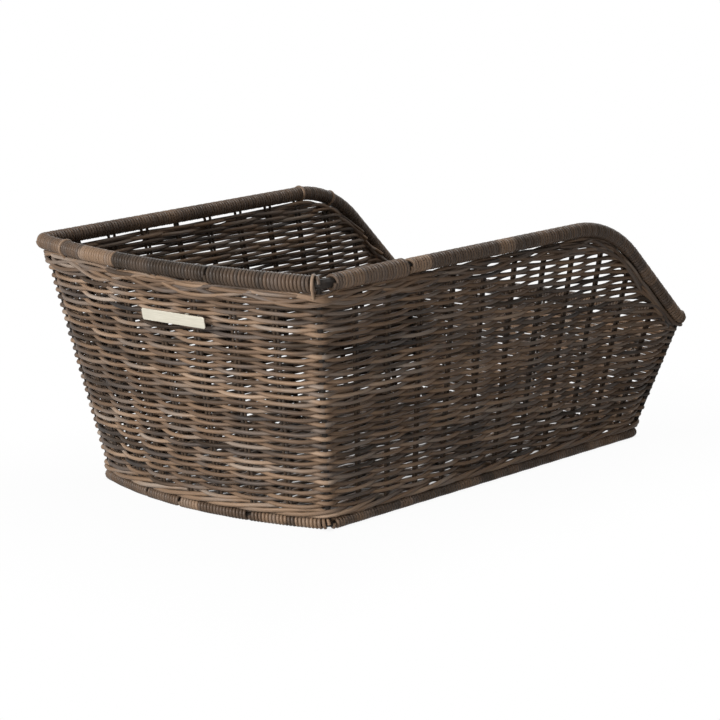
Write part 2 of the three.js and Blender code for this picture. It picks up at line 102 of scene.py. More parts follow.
# %% Hoop lines
base_half = 122 * mm
base_half_length = 201.5 * mm
rear_overhang = 43 * mm
front_overhang = 19 * mm
rim_rear_half = 150 * mm
rim_front_half = 157 * mm
rim_rear_height = 201 * mm
rim_peak_height = 203 * mm
rim_front_height = 108.5 * mm
slope_run = 109 * mm
peak_radius = 114 * mm
foot_radius = 18 * mm
corner_cut = 7.6 * mm
base_height = 3.93 * mm
base_line = {"rear_half": base_half, "front_half": base_half, "rear_y": -base_half_length,
             "front_y": base_half_length, "rear_bow": 25.5 * mm, "front_bow": 6 * mm}
rim_line = {"rear_half": rim_rear_half, "front_half": rim_front_half,
            "rear_y": -base_half_length - rear_overhang, "front_y": base_half_length + front_overhang,
            "rear_bow": 24.5 * mm, "front_bow": 8 * mm}
wall_names = ("rear", "right", "front", "left")
rim_peak_y = rim_line["front_y"] - slope_run
foot_angle = math.atan2(rim_peak_height - rim_front_height, slope_run)
foot_y = rim_line["front_y"] - foot_radius * math.tan(foot_angle / 2)
top_slope = (rim_peak_height - rim_rear_height) / (rim_peak_y - rim_line["rear_y"])
fall_slope = (rim_front_height - rim_peak_height) / (foot_y - rim_peak_y)


def rounded_bend(y, bend_y, bend_z, slope_in, slope_out, radius, straight):
    angle_in = math.atan(slope_in)
    angle_out = math.atan(slope_out)
    side = math.copysign(1, angle_out - angle_in)
    tangent = radius * math.tan(abs(angle_out - angle_in) / 2)
    start = bend_y - tangent * math.cos(angle_in)
    end = bend_y + tangent * math.cos(angle_out)
    centre_y = start - side * radius * math.sin(angle_in)
    centre_z = bend_z - tangent * math.sin(angle_in) + side * radius * math.cos(angle_in)
    inside = (y >= start) & (y <= end)
    reach = np.sqrt(np.maximum(radius ** 2 - (y - centre_y) ** 2, 0))
    return np.where(inside, centre_z - side * reach, straight)


def rim_height(y):
    y = np.asarray(y, float)
    top = rim_rear_height + top_slope * np.maximum(y - rim_line["rear_y"], 0)
    fall = rim_peak_height + fall_slope * (y - rim_peak_y)
    straight = np.maximum(np.minimum(top, fall), rim_front_height)
    peak = rounded_bend(y, rim_peak_y, rim_peak_height, top_slope, fall_slope, peak_radius, straight)
    return rounded_bend(y, foot_y, rim_front_height, fall_slope, 0, foot_radius, peak)


def level_base(y):
    return np.full_like(np.asarray(y, float), base_height)


print("rim peak", round(float(rim_height(rim_peak_y)) / mm, 1), "mm")


# %% Points of a hoop
def sharp_side(line, wall, share):
    """Points of one side of a hoop, before its corners are rounded."""
    rise = 4 * share * (1 - share)
    if wall in ("rear", "front"):
        side = -1 if wall == "rear" else 1
        x = side * (1 - 2 * share) * line[f"{wall}_half"]
        return np.stack([x, line[f"{wall}_y"] + side * line[f"{wall}_bow"] * rise], -1)
    forward = share if wall == "right" else 1 - share
    x = line["rear_half"] + (line["front_half"] - line["rear_half"]) * forward
    y = line["rear_y"] + (line["front_y"] - line["rear_y"]) * forward
    return np.stack([x if wall == "right" else -x, y], -1)


def corner_share(line, wall):
    ends = sharp_side(line, wall, np.array([0.0, 1.0]))
    return corner_cut / np.linalg.norm(ends[1] - ends[0])


def corner_curve(line, before, after, bend):
    one = np.array([1.0])
    corner = sharp_side(line, after, one * 0)
    first = sharp_side(line, before, one - corner_share(line, before))
    last = sharp_side(line, after, one * corner_share(line, after))
    bend = bend[:, None]
    return (1 - bend) ** 2 * first + 2 * bend * (1 - bend) * corner + bend ** 2 * last


def hoop_point(line, heights, wall, share):
    share = np.asarray(share, float)
    index = wall_names.index(wall)
    cut = corner_share(line, wall)
    plan = sharp_side(line, wall, share)
    start = share < cut
    plan[start] = corner_curve(line, wall_names[index - 1], wall, 0.5 + 0.5 * share[start] / cut)
    end = share > 1 - cut
    after = wall_names[(index + 1) % 4]
    plan[end] = corner_curve(line, wall, after, 0.5 * (share[end] - 1 + cut) / cut)
    points = np.column_stack([plan, heights(plan[:, 1])])
    points[:, 1] += base_middle.y
    return points


# %% [markdown]
# ## The wall surface
# A wall is the ruled surface between the two hoops. It could be a mesh that strands are shrunk onto, but a
# formula is exact and answers for any place. Places are given by a walk round the basket that counts the
# uprights: 0 is the rear left post, 8 the rear right post, 20 and 28 the front posts. A strand is then a
# walk at some height, pushed out or in by turns at each whole number.

# %% Wall surface
wall_steps = {"rear": 8, "right": 12, "front": 8, "left": 12}
wall_first = {"rear": 0, "right": 8, "front": 20, "left": 28}
upright_count = 40
measured_height = 100 * mm


def on_walls(walk):
    """Base points and rim points at places of the walk."""
    walk = np.mod(np.asarray(walk, float), upright_count)
    base = np.zeros((len(walk), 3))
    rim = np.zeros((len(walk), 3))
    for wall in wall_names:
        first, steps = wall_first[wall], wall_steps[wall]
        here = (walk >= first) & (walk < first + steps)
        share = (walk[here] - first) / steps
        base[here] = hoop_point(base_line, level_base, wall, share)
        rim[here] = hoop_point(rim_line, rim_height, wall, share)
    return base, rim


def surface_point(walk, height):
    base, rim = on_walls(walk)
    share = (np.asarray(height) - base[:, 2]) / (rim[:, 2] - base[:, 2])
    return base + (rim - base) * share[:, None]


def outward(walk, height):
    """Directions square to the leaning wall, outwards."""
    walk = np.asarray(walk, float)
    step = 0.04
    ahead = surface_point(walk + step, height) - surface_point(walk - step, height)
    base, rim = on_walls(walk)
    square = np.cross(ahead, rim - base)
    return square / np.linalg.norm(square, axis=1)[:, None]


def off_wall(walk, height, reach):
    """Points at some height of the walk, pushed out from the wall."""
    return surface_point(walk, height) + outward(walk, height) * reach[:, None]


rear_ends = surface_point([wall_first["rear"], wall_first["right"]], [measured_height] * 2)
print("rear wall across its posts", round(np.linalg.norm(rear_ends[1] - rear_ends[0]) / mm, 1), "mm")

# %% [markdown]
# ## Node trees that turn lines into cane
# The strands, stakes and bindings are all lines at first. Curve objects with a bevel could give them
# thickness. A Geometry Nodes tree is chosen because it sweeps the section along and also keeps what the
# materials need later: the distance along the strand and the place round it. One set of inputs holds the
# thickness and the number of sides. A second tree first winds the line into a helix, which is how the rim
# and the base are bound.

# %% Node helpers
def feed(tree, node, inputs):
    """Sets a node's inputs, and links those that are given another node's output."""
    for name, value in inputs.items():
        if isinstance(value, bpy.types.NodeSocket):
            tree.links.new(value, node.inputs[name])
        else:
            node.inputs[name].default_value = value


def add_node(tree, kind, inputs=None, **settings):
    node = tree.nodes.new(kind)
    for name, value in settings.items():
        setattr(node, name, value)
    feed(tree, node, inputs or {})
    return node


def made(tree, kind, inputs=None, **settings):
    """Adds a node and gives its first output."""
    return add_node(tree, kind, inputs, **settings).outputs[0]


def math_node(tree, operation, *values):
    return made(tree, "ShaderNodeMath", dict(enumerate(values)), operation=operation)


def times(tree, first, second):
    return math_node(tree, "MULTIPLY", first, second)


def new_tree(name, kind, inputs, outputs):
    """A node tree with named sockets. An input is given by its default, or by the kind of its socket."""
    tree = bpy.data.node_groups.new(name, kind)
    for label, given in inputs.items():
        sort = given if isinstance(given, str) else "Int" if isinstance(given, int) else "Float"
        socket = tree.interface.new_socket(label, in_out="INPUT", socket_type=f"NodeSocket{sort}")
        if sort != given:
            socket.default_value = given
    for label, sort in outputs.items():
        tree.interface.new_socket(label, in_out="OUTPUT", socket_type=f"NodeSocket{sort}")
    return tree, add_node(tree, "NodeGroupInput"), add_node(tree, "NodeGroupOutput")


def new_geometry_tree(name, sizes):
    inputs = {"Geometry": "Geometry", **sizes, "Finish": "Material"}
    return new_tree(name, "GeometryNodeTree", inputs, {"Geometry": "Geometry"})


def read_named(tree, name):
    node = add_node(tree, "GeometryNodeInputNamedAttribute", {"Name": name}, data_type="FLOAT")
    return node.outputs["Attribute"]


def keep_named(tree, curve, name, value, kind="FLOAT"):
    inputs = {"Geometry": curve, "Name": name, "Value": value}
    return made(tree, "GeometryNodeStoreNamedAttribute", inputs, data_type=kind)


# %% The strand tree
def sweep(tree, given, result, curve):
    """Sweeps a round section along the curve, and names the places along it and round it."""
    along = add_node(tree, "GeometryNodeSplineParameter").outputs["Length"]
    radius = times(tree, given.outputs["Strand Diameter"], 0.5)
    circle = made(tree, "GeometryNodeCurvePrimitiveCircle",
                  {"Resolution": given.outputs["Sides"], "Radius": radius})
    place = made(tree, "GeometryNodeInputPosition")
    tube = made(tree, "GeometryNodeCurveToMesh", {
        "Curve": keep_named(tree, curve, "run", along),
        "Profile Curve": keep_named(tree, circle, "ring", place, "FLOAT_VECTOR"),
        "Scale": read_named(tree, "girth"),
        "Fill Caps": True,
    })
    smooth = made(tree, "GeometryNodeSetShadeSmooth", {"Geometry": tube})
    real = made(tree, "GeometryNodeRealizeInstances", {"Geometry": smooth})
    coat = made(tree, "GeometryNodeSetMaterial", {"Geometry": real, "Material": given.outputs["Finish"]})
    feed(tree, result, {"Geometry": coat})


def strand_tree():
    tree, given, result = new_geometry_tree("cane_strand", {"Strand Diameter": 2.4 * mm, "Sides": 8})
    line = made(tree, "GeometryNodeMeshToCurve", {"Mesh": given.outputs["Geometry"]})
    sweep(tree, given, result, line)
    return tree


cane_strand = strand_tree()
print("node tree:", cane_strand.name)


# %% The binding tree
def binding_tree():
    tree, given, result = new_geometry_tree("wound_binding", {
        "Strand Diameter": 2.4 * mm,
        "Sides": 6,
        "Coil Radius": 5.5 * mm,
        "Turn Pitch": 2.8 * mm,
        "Steps Per Turn": 14,
    })
    pitch = given.outputs["Turn Pitch"]
    line = made(tree, "GeometryNodeMeshToCurve", {"Mesh": given.outputs["Geometry"]})
    level = made(tree, "GeometryNodeSetCurveNormal", {"Curve": line}, mode="Z_UP")
    step = math_node(tree, "DIVIDE", pitch, given.outputs["Steps Per Turn"])
    fine = made(tree, "GeometryNodeResampleCurve", {"Curve": level, "Length": step}, mode="LENGTH")
    along = add_node(tree, "GeometryNodeSplineParameter").outputs["Length"]
    angle = times(tree, math_node(tree, "DIVIDE", along, pitch), 2 * math.pi)
    normal = made(tree, "GeometryNodeInputNormal")
    tangent = made(tree, "GeometryNodeInputTangent")
    across = made(tree, "ShaderNodeVectorMath", {0: tangent, 1: normal}, operation="CROSS_PRODUCT")
    coil = times(tree, read_named(tree, "swell"), given.outputs["Coil Radius"])
    parts = {}
    for place, (direction, wave) in enumerate(((normal, "COSINE"), (across, "SINE"))):
        reach = times(tree, math_node(tree, wave, angle), coil)
        parts[place] = made(tree, "ShaderNodeVectorMath", {0: direction, "Scale": reach}, operation="SCALE")
    offset = made(tree, "ShaderNodeVectorMath", parts, operation="ADD")
    wound = made(tree, "GeometryNodeSetPosition", {"Geometry": fine, "Offset": offset})
    even = made(tree, "GeometryNodeSetCurveNormal", {"Curve": wound}, mode="MINIMUM_TWIST")
    sweep(tree, given, result, even)
    return tree


wound_binding = binding_tree()
print("node tree:", wound_binding.name)


# %% From lines to a finished piece
def line_mesh(name, strands):
    """A mesh of edges, with what the trees and materials read of each strand on its points."""
    points, edges = [], []
    values = {"tone": [], "lot": [], "girth": [], "swell": []}
    for strand in strands:
        first = len(points)
        count = len(strand["points"])
        points.extend(strand["points"])
        edges.extend((first + i, first + i + 1) for i in range(count - 1))
        if strand["closed"]:
            edges.append((first + count - 1, first))
        for label, held in values.items():
            held.extend(np.broadcast_to(strand[label], count))
    mesh = bpy.data.meshes.new(name)
    mesh.from_pydata([tuple(point) for point in points], edges, [])
    for label, held in values.items():
        attribute = mesh.attributes.new(label, "FLOAT", "POINT")
        attribute.data.foreach_set("value", np.asarray(held, np.float32))
    return mesh


def settle(piece, slot, *stands_for):
    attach(piece, "root")
    if stands_for:
        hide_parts(*stands_for)


def grow(name, strands, tree, sizes, finish, slot, *stands_for):
    """Runs a node tree on the strands and settles the result as a plain mesh object."""
    piece = bpy.data.objects.new(name, line_mesh(name, strands))
    scene.collection.objects.link(piece)
    modifier = piece.modifiers.new("grow", "NODES")
    modifier.node_group = tree
    values = {**sizes, "Finish": finish}
    for socket in tree.interface.items_tree:
        if socket.in_out == "INPUT" and socket.name in values:
            modifier[socket.identifier] = values[socket.name]
    graph = bpy.context.evaluated_depsgraph_get()
    mesh = bpy.data.meshes.new_from_object(piece.evaluated_get(graph), depsgraph=graph)
    piece.modifiers.clear()
    piece.data = mesh
    mesh.name = name
    settle(piece, slot, *stands_for)
    print(name, "strands", len(strands), "faces", len(mesh.polygons))


# %% [markdown]
# ## Synthetic cane
# The cane is extruded plastic, coloured in streaks that run along the strand, and its colour wanders from
# near black through grey brown to tan. It could be a painted picture, but then every strand would need a
# place on it. A shader group reads the strand's tone and its place along and round the strand instead, and
# puts out colour, roughness and the height of fine grooves. Three materials place the group with values of
# their own.

# %% Cane shader group
warm_colors = (
    (0.0, (0.0175, 0.0115, 0.0072)),
    (0.22, (0.049, 0.0345, 0.0245)),
    (0.42, (0.094, 0.062, 0.042)),
    (0.6, (0.155, 0.1, 0.064)),
    (0.8, (0.215, 0.142, 0.092)),
    (1.0, (0.298, 0.212, 0.15)),
)
cool_colors = (
    (0.0, (0.011, 0.0125, 0.0145)),
    (0.3, (0.043, 0.043, 0.044)),
    (0.6, (0.125, 0.112, 0.103)),
    (1.0, (0.28, 0.25, 0.22)),
)
cool_edges = (0.48, 0.64)
streaks_along = 26
streaks_round = 1700
streak_gain = 4
patches_along = 17
patch_spread = 7
lot_spread = 53
rough_spread = 0.22


def strand_value(tree, name, output="Fac"):
    return add_node(tree, "ShaderNodeAttribute", attribute_name=name).outputs[output]


def ramp(tree, value, stops):
    node = add_node(tree, "ShaderNodeValToRGB", {"Fac": value})
    elements = node.color_ramp.elements
    while len(elements) < len(stops):
        elements.new(0.5)
    for element, (place, color) in zip(elements, stops):
        element.position = place
        element.color = (*color, 1)
    return node.outputs["Color"]


def cane_group():
    outputs = {"Color": "Color", "Roughness": "Float", "Height": "Float"}
    inputs = {"Streak": 0.16, "Gloss": 0.42, "Cool": 0.8}
    tree, given, result = new_tree("streaked_cane", "ShaderNodeTree", inputs, outputs)
    run = strand_value(tree, "run")
    lot = times(tree, strand_value(tree, "lot"), lot_spread)
    ring = add_node(tree, "ShaderNodeSeparateXYZ", {"Vector": strand_value(tree, "ring", "Vector")}).outputs
    place = made(tree, "ShaderNodeCombineXYZ", {
        "X": times(tree, run, streaks_along),
        "Y": times(tree, ring["X"], streaks_round),
        "Z": times(tree, ring["Y"], streaks_round),
    })
    noise = {"Vector": place, "W": lot, "Scale": 1.0, "Detail": 3}
    streak = made(tree, "ShaderNodeTexNoise", noise, noise_dimensions="4D")
    drift = math_node(tree, "SUBTRACT", streak, 0.5)
    drift = times(tree, drift, given.outputs["Streak"])
    drift = times(tree, drift, streak_gain)
    tone = math_node(tree, "ADD", strand_value(tree, "tone"), drift)
    place = made(tree, "ShaderNodeCombineXYZ", {
        "X": times(tree, run, patches_along),
        "Y": times(tree, lot, patch_spread),
    })
    noise = {"Vector": place, "Scale": 1.0, "Detail": 2}
    patch = made(tree, "ShaderNodeTexNoise", noise, noise_dimensions="2D")
    cool = made(tree, "ShaderNodeMapRange",
                {"Value": patch, "From Min": cool_edges[0], "From Max": cool_edges[1]})
    mix = made(tree, "ShaderNodeMixRGB", {
        "Fac": times(tree, cool, given.outputs["Cool"]),
        "Color1": ramp(tree, tone, warm_colors),
        "Color2": ramp(tree, tone, cool_colors),
    })
    rough = times(tree, streak, rough_spread)
    rough = math_node(tree, "ADD", given.outputs["Gloss"], rough)
    feed(tree, result, {"Color": mix, "Roughness": rough, "Height": streak})
    return tree


streaked_cane = cane_group()
print("shader group:", streaked_cane.name)

# %% Cane materials
groove_strength = 0.35
groove_depth = 0.15 * mm


def new_material(name):
    material = bpy.data.materials.new(name)
    material.use_nodes = True
    return material, material.node_tree, material.node_tree.nodes["Principled BSDF"]


def cane(name, streak, gloss, cool, shine):
    material, tree, shader = new_material(name)
    values = {"Streak": streak, "Gloss": gloss, "Cool": cool}
    group = add_node(tree, "ShaderNodeGroup", values, node_tree=streaked_cane).outputs
    grooves = {"Height": group["Height"], "Strength": groove_strength, "Distance": groove_depth}
    feed(tree, shader, {
        "Base Color": group["Color"],
        "Roughness": group["Roughness"],
        "Normal": made(tree, "ShaderNodeBump", grooves),
        "Specular IOR Level": shine,
    })
    return material


weaver_cane = cane("weaver_cane", streak=0.17, gloss=0.34, cool=0.52, shine=0.09)
stake_cane = cane("stake_cane", streak=0.08, gloss=0.42, cool=0.4, shine=0.07)
binding_cane = cane("binding_cane", streak=0.12, gloss=0.26, cool=0.25, shine=0.14)
print("cane materials ready")

# %% [markdown]
# ## Rows of the weave
# The rows are level and lie close, one strand above the other. Where the rim comes down along the side
# walls, the rows run out one after another. A Boolean could cut them off there, but cut ends would show.
# So each bends down with the slope for a short way and is tucked in, which leaves a bundle of strands
# under the sloping rim, as on the real basket. The height at which a row runs out is the rim line moved
# down by a fixed distance, measured square to it.

# %% Row heights
chance = np.random.default_rng(11)
strand_size = 3.24 * mm
weave_foot = 13.6 * mm
row_pitch = 3.03 * mm
first_row = 1
row_count = 60
level_clear = 9.2 * mm
slope_clear = 7.6 * mm
clear_change = (-70 * mm, 10 * mm)
rim_margins = (-40 * mm, 20 * mm)
rim_samples = 500
room_rounds = 6
side_samples = 601


def row_height(row):
    return weave_foot + (row + 0.5) * row_pitch


def rim_clear(along):
    """How far the top row stays below the rim: closer on the slope than on the level part."""
    places = [rim_peak_y + change for change in clear_change]
    return np.interp(along, places, (level_clear, slope_clear))


def below_rim():
    """Heights of the line that keeps that distance below the rim, at places along the basket."""
    start, end = rim_line["rear_y"] + rim_margins[0], rim_line["front_y"] + rim_margins[1]
    along = np.linspace(start, end, rim_samples)
    distance = rim_clear(along)[None, :]
    gap = along[:, None] - along[None, :]
    drop = np.sqrt(np.maximum(distance ** 2 - gap ** 2, 0))
    reach = np.where(np.abs(gap) < distance, rim_height(along)[None, :] - drop, np.inf)
    return along, reach.min(1)


def room_at(walk):
    """The same line met by the upright at each place of the walk."""
    along, level = below_rim()
    height = on_walls(walk)[1][:, 2] - slope_clear
    for _ in range(room_rounds):
        height = np.interp(surface_point(walk, height)[:, 1] - base_middle.y, along, level)
    return height


side_walk = np.linspace(wall_first["right"], wall_first["front"], side_samples)
side_room = room_at(side_walk)
through_rows = math.ceil((side_room.min() - weave_foot) / row_pitch - 0.5)
print("rows at the rear:", row_count - first_row, "rows at the front:", through_rows - first_row)

# %% [markdown]
# ## Weaving one strand
# At a whole number of the walk the strand lies flat against an upright, outside or inside by turns, and
# between two uprights it crosses over. At a corner post it is drawn in, and a strand that is bent round
# the outside of a post is a little thicker there. A flat wall with a picture of a weave would be lighter,
# but daylight shows between real strands, and that gives the basket its look. Hand weaving is never even,
# so height and depth wander a little, from a fixed seed.

# %% Smooth chance
height_wander = 0.28 * mm
reach_wander = 0.2 * mm
row_waver = chance.normal(0, 1, (row_count, upright_count))
row_depth = chance.normal(0, 1, (row_count, upright_count))


def smooth_round(values, walk):
    """A smooth line through values spaced evenly round the basket."""
    count = len(values)
    place = np.mod(walk, upright_count) * count / upright_count
    index = np.floor(place).astype(int)
    part = place - index
    before, first, second, after = (values[(index + i) % count] for i in (-1, 0, 1, 2))
    low = (1 + 2 * part) * (1 - part) ** 2 * first + part ** 2 * (3 - 2 * part) * second
    bend = part * (1 - part) ** 2 * (second - before) - part ** 2 * (1 - part) * (after - first)
    return low + bend / 2


def wandering(place, size, spacing):
    """Smooth chance along a line, with one free value at each spacing. Drifts are (size, spacing)."""
    place = (np.asarray(place) - np.min(place)) / spacing
    values = chance.normal(0, 1, int(place.max()) + 3)
    index = np.floor(place).astype(int)
    part = place - index
    part = part * part * (3 - 2 * part)
    return size * (values[index] * (1 - part) + values[index + 1] * part)


print("a row's height wanders by", round(height_wander * row_waver.std() / mm, 2), "mm")

# %% Strand path
stake_reach = 2.85 * mm
post_outside = -0.2 * mm
post_inside = 6.0 * mm
post_places = np.array([*wall_first.values(), upright_count])
post_spread = 0.6
post_pull = 2.1
flatness = 0.3
loose_rows = 5
loose_wander = 0.5 * mm
level_softness = 1.2 * mm
slope_softness = 3.6 * mm
softness_walk = (16, 18)
mirror_walk = wall_first["right"] + upright_count


def post_share(walk):
    """1 at a post, 0 away from it."""
    near = np.min(np.abs(walk[:, None] - post_places), axis=1)
    return np.clip(1 - near / post_spread, 0, 1)


def crossings(walk):
    """The walk, slowed at the uprights: strands lie along a stake, and dive in just beside a post."""
    part = walk - np.floor(walk)
    steady = walk - flatness * np.sin(2 * np.pi * part) / (2 * np.pi)
    post = post_places[np.argmin(np.abs(walk[:, None] - post_places), axis=1)]
    away = np.abs(walk - post)
    pulled = post + np.sign(walk - post) * (1 - (1 - np.minimum(away, 1)) ** post_pull)
    return np.where(away < 1, pulled, steady)


def reach_at(walk, sway):
    """How far a strand stands out: the same both ways at a stake, drawn in at a post."""
    post = post_share(walk)
    middle = (post_outside - post_inside) / 2
    half = (post_outside + post_inside) / 2
    return middle * post + (stake_reach + (half - stake_reach) * post) * sway


def softness_at(walk):
    """How gently a row bends down: more gently under the slope and round the front."""
    start, end = softness_walk
    places = (start, end, mirror_walk - end, mirror_walk - start)
    values = (level_softness, slope_softness, slope_softness, level_softness)
    return np.interp(np.mod(walk, upright_count), places, values)


def lower_of(first, second, softness):
    """The lower of two heights, with a soft bend where they meet."""
    low = np.minimum(first, second)
    return low - softness * np.log1p(np.exp(-np.abs(first - second) / softness))


def weave_path(row, walk, room, tuck):
    """Points of one row along the walk, kept below the given room, with its end tucked inwards."""
    sway = np.cos(np.pi * (crossings(walk) + row))
    loose = np.clip((row - row_count + loose_rows) / loose_rows, 0, 1)
    height = lower_of(row_height(row), room, softness_at(walk))
    height = height + (height_wander + loose_wander * loose) * smooth_round(row_waver[row], walk)
    reach = reach_at(walk, sway) + reach_wander * smooth_round(row_depth[row], walk) - tuck
    return off_wall(walk, height, reach)


print("a strand stands out by", round(stake_reach / mm, 2), "mm at a stake")

# %% [markdown]
# ## Tones
# The photograph shows clusters of rows in near black and blue grey, others in reddish brown and tan. A
# tone drawn for each strand alone would look even from far away. A smooth random field over the walk and
# the rows gives the clusters, each strand has a tone of its own, and the tone also drifts along the
# strand, because the cane is coloured in long patches.

# %% Tone field
field_walk = 16
field_rows = 14
field_slant = 0.31
tone_field = chance.normal(0, 1, (field_rows + 1, field_walk))
row_tone = chance.normal(0, 1, row_count + 1)
tone_middle = 0.54
cluster_share = 0.12
row_share = 0.06
drift_share = 0.15
drift_places = 26
row_drift = chance.normal(0, 1, (row_count, drift_places))
lot_count = 4000
lot_numbers = iter(chance.uniform(0, 1, lot_count))


def tone_at(row, walk):
    across = np.mod(np.asarray(walk) * field_walk / upright_count + row * field_slant, field_walk)
    first = np.floor(across).astype(int)
    part = across - first
    part = part * part * (3 - 2 * part)
    level = row * field_rows / row_count
    low = int(level)
    share = level - low
    lines = tone_field[low] * (1 - share) + tone_field[low + 1] * share
    cluster = lines[first % field_walk] * (1 - part) + lines[(first + 1) % field_walk] * part
    drift = smooth_round(row_drift[row], walk)
    return tone_middle + cluster_share * cluster + row_share * row_tone[row] + drift_share * drift


def strand_of(points, tone, girth=1.0, swell=1.0, closed=False):
    return {"points": points, "tone": tone, "lot": next(lot_numbers), "girth": girth, "swell": swell,
            "closed": closed}


print("first tone of the lowest row:", round(float(tone_at(first_row, [0.0])[0]), 2))

# %% Weaving the four walls
samples_per_gap = 8
corner_steps = np.array([0.025, 0.05, 0.075, 0.1, 0.15, 0.2])
knuckle = 0.2
slope_start = 17.0
tail_length = 1.1
tail_bend = 0.3
tail_layers = 4
tail_step = 1.4 * mm
tail_tuck = 4 * mm
strand_sizes = {"Strand Diameter": strand_size, "Sides": 8}
woven_panels = {
    "rear": ("weave_rear_left", "weave_rear_middle", "weave_rear_right"),
    "right": ("weave_right",),
    "front": ("weave_front",),
    "left": ("weave_left",),
}


def weave(name, strands, *stands_for):
    grow(name, strands, cane_strand, strand_sizes, weaver_cane, "weaver", *stands_for)


def walk_between(start, end):
    """Even places along the walk, with closer ones by the posts, where strands turn sharply."""
    even = np.linspace(start, end, int((end - start) * samples_per_gap) + 1)
    close = np.concatenate([post + side * corner_steps for post in post_places for side in (-1, 1)])
    return np.unique(np.concatenate([even, close[(close > start) & (close < end)]]))


def row_strand(row, walk, room, tuck=0):
    """One row, thicker where it is bent round the outside of a post."""
    outside = 1 - row % 2
    girth = 1 + knuckle * outside * post_share(walk)
    return strand_of(weave_path(row, walk, room, tuck), tone_at(row, walk), girth)


def wall_strands(wall, rows):
    walk = walk_between(wall_first[wall], wall_first[wall] + wall_steps[wall])
    room = room_at(walk)
    return [row_strand(row, walk, room) for row in rows]


def runs_out(row):
    """The place on the right wall where the room under the rim comes down to the row."""
    low = (side_room < row_height(row)) & (side_walk > slope_start)
    return side_walk[np.argmax(low)]


def side_strands(wall):
    """Rows of a side wall: the lower ones run through, the upper ones run out under the slope."""
    strands = wall_strands(wall, range(first_row, through_rows))
    for row in range(through_rows, row_count):
        bend = runs_out(row)
        end = min(bend + tail_length, wall_first["front"])
        walk = walk_between(wall_first["right"], end)
        ending = np.clip((walk - bend + tail_bend) / tail_bend, 0, 1)
        room = np.interp(walk, side_walk, side_room) - (row % tail_layers) * tail_step * ending
        tuck = tail_tuck * np.clip((walk - end + tail_bend) / tail_bend, 0, 1)
        strands.append(row_strand(row, walk if wall == "right" else mirror_walk - walk, room, tuck))
    return strands


woven_rows = {
    "rear": wall_strands("rear", range(first_row, row_count)),
    "front": wall_strands("front", range(first_row, through_rows)),
    "right": side_strands("right"),
    "left": side_strands("left"),
}
for wall, panels in woven_panels.items():
    weave(f"woven_{wall}", woven_rows[wall], *panels)

# %% [markdown]
# ## Stakes
# Each stake is a doubled strand, so two legs stand a little apart, from the base binding to the underside
# of the rim binding. Just under the rim some pairs are splayed. One rod could be copied along the walls by
# instances, but each wall leans and bows in its own way, so each leg is a line of its own on the wall.

# %% Stakes
rim_radius = 6.25 * mm
stake_sizes = {"Strand Diameter": 2.5 * mm, "Sides": 8}
stake_foot = 8.2 * mm
stake_overlap = 0.4 * mm
stake_points = 12
stake_tone = 0.24
leg_offset = 1.7 * mm
splay_length = 22 * mm
splay_reach = 1.8 * mm
splay_shares = {"rear": 0.2, "right": 0.0, "front": 0.4, "left": 0.6}


def upright_line(place, low, high, steps):
    """A straight line up the wall, and the direction outwards at each of its points."""
    walk = np.full(steps, float(place))
    line = surface_point(walk, np.linspace(low, high, steps))
    return line, outward(walk, line[:, 2])


def stake_pair(place, splay):
    """Two legs, which stand apart under the rim where the stake is splayed."""
    high = on_walls([place])[1][0, 2] - rim_radius + stake_overlap
    line, out = upright_line(place, stake_foot, high, stake_points)
    aside = leg_offset + splay * np.clip(1 - (high - line[:, 2]) / splay_length, 0, 1)
    shift = np.cross((0, 0, 1), out) * aside[:, None]
    return [strand_of(line + shift * sign, stake_tone) for sign in (-1, 1)]


for wall in wall_names:
    first, steps = wall_first[wall], wall_steps[wall]
    splayed = chance.random(steps) < splay_shares[wall]
    legs = [leg for i in range(1, steps) for leg in stake_pair(first + i, splay_reach * splayed[i])]
    bare = [f"stake_{wall}_{i}" for i in range(1, steps)]
    grow(f"stakes_{wall}", legs, cane_strand, stake_sizes, stake_cane, "stake", *bare)

# %% [markdown]
# ## Bindings
# The rim and the base are wound with the same cane, turn against turn. Rings in an array could stand for
# the turns, but real turns slant, so a strand is wound along each hoop as a helix. The binding stops short
# of each corner, where the bare rod shows. It changes colour in stretches, where a new strand was started,
# with a thin gap between some of them. By the near corner the rim is wound thicker, over the ends of the
# border strands, so the coil swells there. A stretch is given by the shares of the wall where it starts
# and ends, and by its tone.

